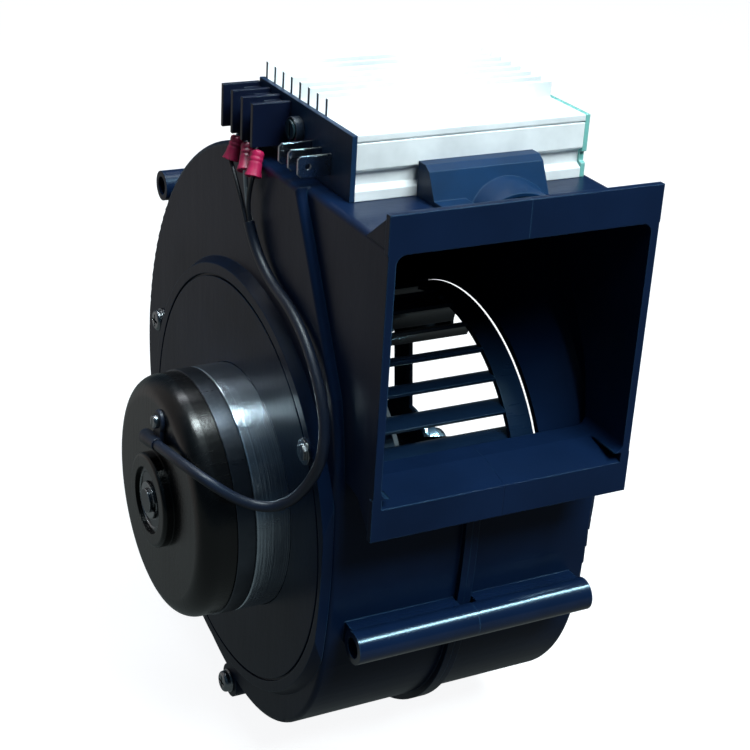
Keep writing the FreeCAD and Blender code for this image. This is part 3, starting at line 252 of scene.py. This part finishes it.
def routed(name, points, diameter, paint):
    """Round cord whose NURBS spline has the route's points as control points."""
    curve = bpy.data.curves.new(name, "CURVE")
    curve.dimensions = "3D"
    curve.bevel_depth = diameter / 2
    curve.bevel_resolution = 4
    curve.resolution_u = 16
    curve.use_fill_caps = True
    spline = curve.splines.new("NURBS")
    spline.points.add(len(points) - 1)
    for knot, spot in zip(spline.points, points):
        knot.co = (*spot, 1.0)
    spline.order_u = 3
    spline.use_endpoint_u = True
    cord = bpy.data.objects.new(name, curve)
    scene.collection.objects.link(cord)
    cord.data.materials.append(paint)
    return cord


def new_group(name, inputs, outputs):
    """Empty shader node group with named sockets."""
    group = bpy.data.node_groups.new(name, "ShaderNodeTree")
    for label, kind, value in inputs:
        socket = group.interface.new_socket(label, in_out="INPUT", socket_type=kind)
        socket.default_value = value
    for label, kind in outputs:
        group.interface.new_socket(label, in_out="OUTPUT", socket_type=kind)
    return group, group.nodes.new("NodeGroupInput"), group.nodes.new("NodeGroupOutput")


def math_node(tree, operation, a, b=None, clamp=False):
    """Result of one sum on sockets or numbers."""
    node = tree.nodes.new("ShaderNodeMath")
    node.operation = operation
    node.use_clamp = clamp
    for socket, value in zip(node.inputs, (a, b)):
        if value is None:
            continue
        if hasattr(value, "is_linked"):
            tree.links.new(value, socket)
        else:
            socket.default_value = value
    return node.outputs[0]


def noise(tree, vector, scale, detail=4.0):
    """Cloudy noise from 0 to 1."""
    node = tree.nodes.new("ShaderNodeTexNoise")
    node.inputs["Detail"].default_value = detail
    node.inputs["Roughness"].default_value = 0.55
    tree.links.new(vector, node.inputs["Vector"])
    if hasattr(scale, "is_linked"):
        tree.links.new(scale, node.inputs["Scale"])
    else:
        node.inputs["Scale"].default_value = scale
    return node.outputs["Fac"]


def stretched(tree, scale):
    """Object coordinates scaled by three factors."""
    coordinates = tree.nodes.new("ShaderNodeTexCoord")
    mapping = tree.nodes.new("ShaderNodeMapping")
    mapping.inputs["Scale"].default_value = scale
    tree.links.new(coordinates.outputs["Object"], mapping.inputs["Vector"])
    return mapping.outputs["Vector"]


def ramp(tree, value, low, high):
    """Linear step of a value from 0 at low to 1 at high."""
    node = tree.nodes.new("ShaderNodeMapRange")
    node.inputs["From Min"].default_value = low
    node.inputs["From Max"].default_value = high
    tree.links.new(value, node.inputs["Value"])
    return node.outputs["Result"]


def mixed(tree, amount, first, second):
    """Blend of two colours by an amount from 0 to 1."""
    node = tree.nodes.new("ShaderNodeMix")
    node.data_type = "RGBA"
    for socket, value in ((node.inputs[0], amount), (node.inputs[6], first), (node.inputs[7], second)):
        if hasattr(value, "is_linked"):
            tree.links.new(value, socket)
        else:
            socket.default_value = value
    return node.outputs[2]


def weather_and_highlight_group():
    """Handling marks and painted highlights: cloudy tone, settled dust on upward faces, and pale edges
    that stand for wear on some finishes and are a painted edge highlight on others.
    """
    group, enter, leave = new_group(
        "weather and highlight",
        [
            ("Colour", "NodeSocketColor", (0.1, 0.1, 0.1, 1)),
            ("Worn And Highlight Colour", "NodeSocketColor", (0.3, 0.3, 0.3, 1)),
            ("Dust Colour", "NodeSocketColor", (0.45, 0.43, 0.4, 1)),
            ("Roughness", "NodeSocketFloat", 0.4),
            ("Swing", "NodeSocketFloat", 0.15),
            ("Cloud Scale", "NodeSocketFloat", 60.0),
            ("Dust", "NodeSocketFloat", 0.05),
            ("Edge Wear And Highlight", "NodeSocketFloat", 0.3),
        ],
        [("Colour", "NodeSocketColor"), ("Roughness", "NodeSocketFloat")],
    )
    plain = stretched(group, (1, 1, 1))
    cloud = noise(group, plain, enter.outputs["Cloud Scale"])
    speck = noise(group, plain, 900.0, 2.0)
    streak = noise(group, stretched(group, (30, 900, 30)), 1.0, 3.0)
    geometry = group.nodes.new("ShaderNodeNewGeometry")
    rounded = group.nodes.new("ShaderNodeBevel")
    rounded.samples = 4
    rounded.inputs["Radius"].default_value = EDGE_ROUND
    agree = group.nodes.new("ShaderNodeVectorMath")
    agree.operation = "DOT_PRODUCT"
    group.links.new(geometry.outputs["Normal"], agree.inputs[0])
    group.links.new(rounded.outputs["Normal"], agree.inputs[1])
    # Pale edges: worn on some finishes, and a painted edge highlight on the dark housing plastic and the
    # clear plate.
    edge = math_node(group, "SUBTRACT", 1.0, agree.outputs["Value"], True)
    edge = math_node(group, "MULTIPLY", edge, ramp(group, cloud, 0.38, 0.62), True)
    edge = math_node(group, "MULTIPLY", edge, 7.0, True)
    edge = math_node(group, "MULTIPLY", edge, enter.outputs["Edge Wear And Highlight"], True)
    upward = group.nodes.new("ShaderNodeSeparateXYZ")
    group.links.new(geometry.outputs["Normal"], upward.inputs[0])
    lying = ramp(group, upward.outputs["Z"], 0.2, 1.0)
    dust = math_node(group, "MULTIPLY", lying, ramp(group, speck, 0.45, 0.75), True)
    dust = math_node(group, "MULTIPLY", dust, enter.outputs["Dust"], True)
    tone = math_node(group, "MULTIPLY", ramp(group, cloud, 0.3, 0.7), 0.35)
    darker = mixed(group, tone, enter.outputs["Colour"], (0.0, 0.0, 0.0, 1))
    worn_and_highlight_colour = mixed(group, edge, darker, enter.outputs["Worn And Highlight Colour"])
    dusty = mixed(group, dust, worn_and_highlight_colour, enter.outputs["Dust Colour"])
    swing = math_node(group, "SUBTRACT", math_node(group, "ADD", cloud, streak), 1.0)
    swing = math_node(group, "MULTIPLY", swing, enter.outputs["Swing"])
    rough = math_node(group, "ADD", enter.outputs["Roughness"], swing)
    rough = math_node(group, "ADD", rough, dust, True)
    group.links.new(dusty, leave.inputs["Colour"])
    group.links.new(rough, leave.inputs["Roughness"])
    return group


def texture_group(name, scale, detail, second=None):
    """Fine relief: stretched noise, with an optional second, coarser layer."""
    group, _, leave = new_group(name, [], [("Height", "NodeSocketFloat")])
    height = noise(group, stretched(group, scale), 1.0, detail)
    if second:
        coarse = noise(group, stretched(group, second), 1.0, 2.0)
        height = math_node(group, "ADD", height, math_node(group, "MULTIPLY", coarse, 0.6))
    group.links.new(height, leave.inputs["Height"])
    return group


WEATHER_AND_HIGHLIGHT = weather_and_highlight_group()
RELIEF = {
    "spark grain": texture_group("spark grain", (1600, 1600, 1600), 3.0, (260, 260, 260)),
    "smooth mould": texture_group("smooth mould", (420, 420, 420), 2.0, (60, 60, 60)),
    "drawn lines": texture_group("drawn lines", (25, 2600, 2600), 4.0, (8, 500, 500)),
    "turned rings": texture_group("turned rings", (4200, 18, 18), 4.0, (900, 8, 8)),
    "sheet stack": texture_group("sheet stack", (2400, 4, 4), 1.0),
    "orange peel": texture_group("orange peel", (650, 650, 650), 1.0, (190, 190, 190)),
    "rubber skin": texture_group("rubber skin", (900, 900, 900), 4.0, (120, 120, 120)),
    "wire turns": texture_group("wire turns", (80, 1500, 1500), 1.0, (500, 500, 500)),
}


def sawn_and_shaded_ends(tree, shade, cut_and_shade_colour):
    """Darker colour on the faces that look along -X, where the section was cut to length; the dark there
    is partly the sawn ends and partly painted shade.
    """
    geometry = tree.nodes.new("ShaderNodeNewGeometry")
    facing = tree.nodes.new("ShaderNodeSeparateXYZ")
    tree.links.new(geometry.outputs["Normal"], facing.inputs[0])
    return mixed(tree, ramp(tree, facing.outputs["X"], -0.8, -0.95), shade, (*cut_and_shade_colour, 1))


def near_front_tube(tree):
    """1 on the front clamp tube, whose axis is the X axis of the row frame, and 0 a little off it."""
    coordinates = tree.nodes.new("ShaderNodeTexCoord")
    parts = tree.nodes.new("ShaderNodeSeparateXYZ")
    tree.links.new(coordinates.outputs["Object"], parts.inputs[0])
    across = math_node(tree, "POWER", parts.outputs["Y"], 2.0)
    upward = math_node(tree, "POWER", parts.outputs["Z"], 2.0)
    away = math_node(tree, "SQRT", math_node(tree, "ADD", across, upward))
    return ramp(tree, away, TUBE_RUBBED[1], TUBE_RUBBED[0])


def finish_paint(name, colour, rough, relief, depth, metal=0.0, worn_and_highlight_colour=None, swing=0.15, cloud=60.0,
                 dust=0.05, edge_wear_and_highlight=0.3, coat=0.0, specular=0.5, clear=0.0, sawn_and_shaded_colour=None, rubbed=None):
    """Material of one finish: the weather and edge highlight group, one relief and the shader's own
    constants.

    The colour for the sawn ends darkens the faces that look along -X and is partly painted shade there;
    rubbed is the roughness of the front clamp tube, which also gets a clear skin.
    """
    paint = bpy.data.materials.new(name)
    paint.use_nodes = True
    tree = paint.node_tree
    shader = tree.nodes["Principled BSDF"]
    aged_and_highlit = tree.nodes.new("ShaderNodeGroup")
    aged_and_highlit.node_tree = WEATHER_AND_HIGHLIGHT
    worn_and_highlight_colour = worn_and_highlight_colour or [min(1.0, c * 2.2 + 0.05) for c in colour]
    aged_and_highlit.inputs["Colour"].default_value = (*colour, 1)
    aged_and_highlit.inputs["Worn And Highlight Colour"].default_value = (*worn_and_highlight_colour, 1)
    aged_and_highlit.inputs["Roughness"].default_value = rough
    aged_and_highlit.inputs["Swing"].default_value = swing
    aged_and_highlit.inputs["Cloud Scale"].default_value = cloud
    aged_and_highlit.inputs["Dust"].default_value = dust
    aged_and_highlit.inputs["Edge Wear And Highlight"].default_value = edge_wear_and_highlight
    shade = aged_and_highlit.outputs["Colour"]
    gloss = aged_and_highlit.outputs["Roughness"]
    shader.inputs["Coat Weight"].default_value = coat
    shader.inputs["Coat Roughness"].default_value = 0.08
    # Painted shade: the faces that look along -X take the dark colour given for the sawn ends.
    if sawn_and_shaded_colour:
        shade = sawn_and_shaded_ends(tree, shade, sawn_and_shaded_colour)
    if rubbed:
        handled = near_front_tube(tree)
        gloss = mixed(tree, handled, gloss, (rubbed, rubbed, rubbed, 1))
        tree.links.new(math_node(tree, "MULTIPLY", handled, 0.8), shader.inputs["Coat Weight"])
        shader.inputs["Coat Roughness"].default_value = rubbed
    tree.links.new(shade, shader.inputs["Base Color"])
    tree.links.new(gloss, shader.inputs["Roughness"])
    pattern = tree.nodes.new("ShaderNodeGroup")
    pattern.node_tree = RELIEF[relief]
    bump = tree.nodes.new("ShaderNodeBump")
    bump.inputs["Strength"].default_value = 1.0
    bump.inputs["Distance"].default_value = depth
    soft = tree.nodes.new("ShaderNodeBevel")
    soft.samples = 4
    soft.inputs["Radius"].default_value = RELIEF_ROUND
    tree.links.new(soft.outputs["Normal"], bump.inputs["Normal"])
    tree.links.new(pattern.outputs["Height"], bump.inputs["Height"])
    tree.links.new(bump.outputs["Normal"], shader.inputs["Normal"])
    shader.inputs["Metallic"].default_value = metal
    shader.inputs["Specular IOR Level"].default_value = specular
    shader.inputs["Transmission Weight"].default_value = clear
    return paint


def floor_paint():
    """Pale paper, a little uneven."""
    paint = bpy.data.materials.new("pale paper")
    paint.use_nodes = True
    tree = paint.node_tree
    shader = tree.nodes["Principled BSDF"]
    cloud = noise(tree, stretched(tree, (1, 1, 1)), 6.0)
    tone = mixed(tree, cloud, (0.2, 0.21, 0.22, 1), (0.24, 0.24, 0.24, 1))
    tree.links.new(tone, shader.inputs["Base Color"])
    glow = mixed(tree, cloud, (0.97, 0.98, 1.0, 1), (1.0, 1.0, 1.0, 1))
    tree.links.new(glow, shader.inputs["Emission Color"])
    shader.inputs["Emission Strength"].default_value = 0.93
    shader.inputs["Roughness"].default_value = 0.8
    shader.inputs["Specular IOR Level"].default_value = 0.1
    return paint


FINISHES = {
    # The pale blue edge colour of the housing plastic is a painted edge highlight.
    "housing_plastic": dict(colour=(0.0035, 0.0115, 0.038), rough=0.33, relief="smooth mould",
                            depth=0.00003, dust=0.0, edge_wear_and_highlight=0.3, worn_and_highlight_colour=(0.04, 0.12, 0.22), swing=0.12,
                            cloud=28, specular=0.16, rubbed=0.2),
    "clip_plastic": dict(colour=(0.003, 0.02, 0.062), rough=0.4, relief="spark grain", depth=0.00002,
                         edge_wear_and_highlight=0.15, dust=0.0, worn_and_highlight_colour=(0.1, 0.2, 0.32), specular=0.12),
    "screw_steel": dict(colour=(0.36, 0.38, 0.4), rough=0.25, relief="turned rings", depth=0.00001,
                        metal=1.0, worn_and_highlight_colour=(0.8, 0.8, 0.8)),
    "bare_aluminium": dict(colour=(0.95, 0.965, 0.98), rough=0.42, relief="drawn lines", depth=0.00001,
                           metal=0.15, worn_and_highlight_colour=(1, 1, 1), swing=0.2, cloud=40, dust=0.0,
                           # The dark blue of the sawn ends is partly painted shade.
                           sawn_and_shaded_colour=(0.03, 0.05, 0.08)),
    "plate_black": dict(colour=(0.01, 0.03, 0.075), rough=0.42, relief="spark grain", depth=0.00002,
                        edge_wear_and_highlight=0.12, dust=0.0, specular=0.15),
    # The pale teal edge colour of the clear plate is a painted highlight along its edges.
    "plate_clear": dict(colour=(0.3, 0.78, 0.72), rough=0.25, relief="smooth mould", depth=0.00001,
                        clear=0.35, edge_wear_and_highlight=0.5, worn_and_highlight_colour=(0.7, 0.95, 0.9)),
    "board": dict(colour=(0.03, 0.16, 0.07), rough=0.35, relief="smooth mould", depth=0.00001),
    "capacitor_can": dict(colour=(0.6, 0.6, 0.62), rough=0.35, relief="drawn lines", depth=0.000008,
                          metal=1.0),
    "package_black": dict(colour=(0.02, 0.02, 0.022), rough=0.5, relief="spark grain", depth=0.00002),
    "terminal_plastic": dict(colour=(0.004, 0.007, 0.022), rough=0.35, relief="spark grain",
                             depth=0.000015, dust=0.0, edge_wear_and_highlight=0.15, specular=0.25),
    "tin_plate": dict(colour=(0.5, 0.53, 0.58), rough=0.26, relief="drawn lines", depth=0.00001, metal=1.0,
                      worn_and_highlight_colour=(0.85, 0.85, 0.86), swing=0.25, cloud=160),
    "sleeve_red": dict(colour=(0.42, 0.012, 0.075), rough=0.4, relief="smooth mould", depth=0.00002,
                       dust=0.0, worn_and_highlight_colour=(0.6, 0.08, 0.15), cloud=200, edge_wear_and_highlight=0.15),
    "pot_plastic": dict(colour=(0.01, 0.016, 0.028), rough=0.35, relief="spark grain", depth=0.00001,
                        dust=0.0),
    "pot_core": dict(colour=(0.012, 0.03, 0.04), rough=0.22, relief="spark grain", depth=0.00001,
                     coat=0.4),
    "motor_paint": dict(colour=(0.0015, 0.0015, 0.0017), rough=0.26, relief="orange peel", depth=0.00003,
                        dust=0.004, worn_and_highlight_colour=(0.02, 0.02, 0.022), edge_wear_and_highlight=0.12, cloud=30),
    "motor_steel": dict(colour=(0.75, 0.87, 0.98), rough=0.24, relief="turned rings", depth=0.00005,
                        metal=1.0, worn_and_highlight_colour=(0.8, 0.82, 0.85), cloud=45, dust=0.0),
    "plated_dark": dict(colour=(0.1, 0.115, 0.14), rough=0.32, relief="turned rings", depth=0.00001,
                        metal=1.0, swing=0.2),
    "magnet_ferrite": dict(colour=(0.04, 0.04, 0.042), rough=0.6, relief="spark grain", depth=0.00003),
    "bearing_steel": dict(colour=(0.1, 0.11, 0.125), rough=0.16, relief="turned rings", depth=0.000004,
                          metal=1.0, worn_and_highlight_colour=(0.85, 0.88, 0.9), edge_wear_and_highlight=0.8),
    "lamination": dict(colour=(0.3, 0.31, 0.33), rough=0.42, relief="sheet stack", depth=0.00003,
                       metal=1.0),
    "copper": dict(colour=(0.62, 0.25, 0.12), rough=0.3, relief="wire turns", depth=0.00004, metal=0.9,
                   worn_and_highlight_colour=(0.9, 0.5, 0.3)),
    "carbon": dict(colour=(0.03, 0.03, 0.032), rough=0.5, relief="spark grain", depth=0.00002),
    "insulator": dict(colour=(0.2, 0.1, 0.05), rough=0.5, relief="drawn lines", depth=0.00001),
    "wheel_plastic": dict(colour=(0.004, 0.013, 0.034), rough=0.3, relief="smooth mould", depth=0.00002,
                          dust=0.0, worn_and_highlight_colour=(0.05, 0.14, 0.25), edge_wear_and_highlight=0.2),
    "cable_black": dict(colour=(0.008, 0.013, 0.028), rough=0.42, relief="rubber skin", depth=0.00003,
                        edge_wear_and_highlight=0.08, dust=0.0),
    "lead_grey": dict(colour=(0.55, 0.6, 0.63), rough=0.4, relief="rubber skin", depth=0.00001),
    "lead_dark": dict(colour=(0.01, 0.012, 0.02), rough=0.4, relief="rubber skin", depth=0.00001,
                      dust=0.0),
}


def paint_solids(paints):
    """Gives every carried-over solid the material of its slot."""
    for part in frame["record"]["subparts"]:
        mesh = nodes[part["node"]].data
        mesh.materials.clear()
        mesh.materials.append(paints[part["material_slot"]])


# Sizes of the new pieces, in millimetres about the fan axis.
CABLE_ROUTE = [
    (-81.5, 0.0, 21.8), (-83.0, -36.0, 29.5), (-64.5, -43.5, 15.5), (-53.6, -52.5, 21.5),
    (-50.3, -64.65, 46.5), (-48.7, -40.0, 72.0), (-48.9, -6.5, 78.0), (-49.8, -0.5, 90.5),
]
CABLE_THICK = 3.4
LEAD_THICK = 1.4
LEAD_SPREAD = 0.82
LEAD_RISES = (6.0, 6.5, 8.0)
SLEEVE_TOPS = [(-47.6, -0.84, 113.0), (-47.6, 6.78, 113.0), (-47.6, 14.4, 113.0)]
SLEEVE_FEET = [(-50.3, -3.64, 105.8), (-50.3, 2.18, 105.8), (-50.3, 13.8, 105.8)]
SLEEVE_RADIUS = 2.1
SLEEVE_FLARE = 2.7
SLEEVE_MOUTH = 0.85
CRIMP_DEPTH = 0.16
CRIMP_REACH = 0.07
COIL_X = -67.15
COIL_RADIUS = 2.2
COIL_WIRE = 0.35
COIL_TURNS = 5
COIL_FOOT = 23.1
COIL_END = 32.3


def motor_cable(paints):
    """Cable from the lump on the motor cap round the motor and up to the terminals."""
    points = place(CABLE_ROUTE)
    cable = routed("motor_cable_sheath", points, CABLE_THICK / 1000, paints["cable_black"])
    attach(cable, "casing")
    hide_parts("motor_cable")
    return cable, points[0]


def lead_points(index):
    """Route of one lead, from the end of the sheath into the foot of its sleeve."""
    end = np.array(CABLE_ROUTE[-1])
    heading = end - np.array(CABLE_ROUTE[-2])
    heading /= np.linalg.norm(heading)
    side = np.array([1.0, 0.0, 0.0])
    across = np.cross(heading, side)
    across /= np.linalg.norm(across)
    angle = math.radians(90 - 120 * index)
    aside = side * math.cos(angle) - across * math.sin(angle)
    start = end + heading * 0.1 + aside * LEAD_SPREAD
    bend = start + heading * LEAD_RISES[index]
    foot = np.array(SLEEVE_FEET[index])
    inside = foot + (foot - bend) / np.linalg.norm(foot - bend) * 0.8
    return place([start, bend, inside])


def leads(paints):
    """Three thin leads that fan out of the sheath."""
    made = []
    for index, finish in enumerate(("lead_dark", "lead_grey", "lead_dark")):
        wire = routed("lead_%d" % (index + 1), lead_points(index), LEAD_THICK / 1000, paints[finish])
        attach(wire, "casing")
        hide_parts("lead_wire_%d" % (index + 1))
        made.append(wire)
    return made


def crimped_sleeves(paints):
    """Sleeve of each fork: a barrel that flares to its foot, with a dome on top and two crimp marks.

    Along the middle line, s from 0 at the foot to 1 at the top, the radius falls from the flare to
    the barrel over the lower part, dips by a cosine at each crimp and closes in a quarter circle.
    """
    grids = []
    for top, foot in zip(np.array(SLEEVE_TOPS), np.array(SLEEVE_FEET)):
        length = np.linalg.norm(top - foot)
        s = np.linspace(0, 0.88, 45)
        flare = (SLEEVE_FLARE - SLEEVE_RADIUS) * np.clip(1 - s / 0.45, 0, 1) ** 1.6
        crimp = np.zeros(len(s))
        for at in (0.56, 0.74):
            near = abs(s - at) < CRIMP_REACH
            crimp += CRIMP_DEPTH * np.cos((s - at) * math.pi / 2 / CRIMP_REACH) ** 2 * near
        turn = np.linspace(0.15, 1.0, 7) * math.pi / 2
        dome_height = length * (0.88 + 0.12 * np.sin(turn))
        dome_radius = SLEEVE_MOUTH + (SLEEVE_RADIUS - SLEEVE_MOUTH) * np.cos(turn)
        profile = np.vstack([
            [[0.5, 0.75], [0.0, 0.9], [0.0, SLEEVE_FLARE - 0.25], [0.12, SLEEVE_FLARE]],
            np.column_stack([s * length, SLEEVE_RADIUS + flare - crimp])[1:],
            np.column_stack([dome_height, dome_radius]),
            [[length - 0.6, 0.82]],
        ])
        grids.append(place(turned(profile, foot, top - foot, 44)))
    sleeves = grid_mesh("crimped_sleeves", grids, wrap=True)
    sleeves.data.materials.append(paints["sleeve_red"])
    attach(sleeves, "casing")
    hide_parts("terminal_sleeves")
    return sleeves


def brush_coil(side):
    """Coil spring over a brush: a round wire on a helix about Z whose end turns lie almost flat.

    Along the wire the angle a runs through all turns, and the height follows it over straight
    pieces: slow in the first and last turn, quick between them. Round the wire, each point is
    middle + wire radius * (cos phi * radial + sin phi * across).
    """
    turns = np.linspace(0, COIL_TURNS, 150)
    a = 2 * math.pi * turns
    low = COIL_FOOT + COIL_WIRE
    high = COIL_END - COIL_WIRE
    height = np.interp(turns, [0, 0.8, COIL_TURNS - 0.8, COIL_TURNS], [low, low + 0.75, high - 0.75, high])
    radial = np.column_stack([np.cos(a), np.sin(a), 0 * a])
    middle = COIL_RADIUS * radial + np.column_stack([0 * a, 0 * a, height])
    ahead = np.gradient(middle, axis=0)
    ahead /= np.linalg.norm(ahead, axis=1)[:, None]
    across = np.cross(ahead, radial)
    phi = np.linspace(0, 2 * math.pi, 13)[:-1, None, None]
    points = middle + COIL_WIRE * (np.cos(phi) * radial + np.sin(phi) * across)
    return place(points * (1, side, side) + (COIL_X, 0, 0))


def brush_coils(paints):
    """Both brush springs, each a coil from its foot up to its holder's end."""
    for name, side in (("upper", 1), ("lower", -1)):
        coil = grid_mesh(name + "_brush_coil", [brush_coil(side)], wrap=True)
        coil.data.materials.append(paints["screw_steel"])
        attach(coil, "casing")
        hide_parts("brush_spring_" + name)
        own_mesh(coil)


def main():
    set_camera()
    set_lights()
    make_floor()
    paints = {slot: finish_paint(slot, **values) for slot, values in FINISHES.items()}
    paint_solids(paints)
    cable, leave = motor_cable(paints)
    wires = leads(paints)
    sleeves = crimped_sleeves(paints)
    brush_coils(paints)


main()
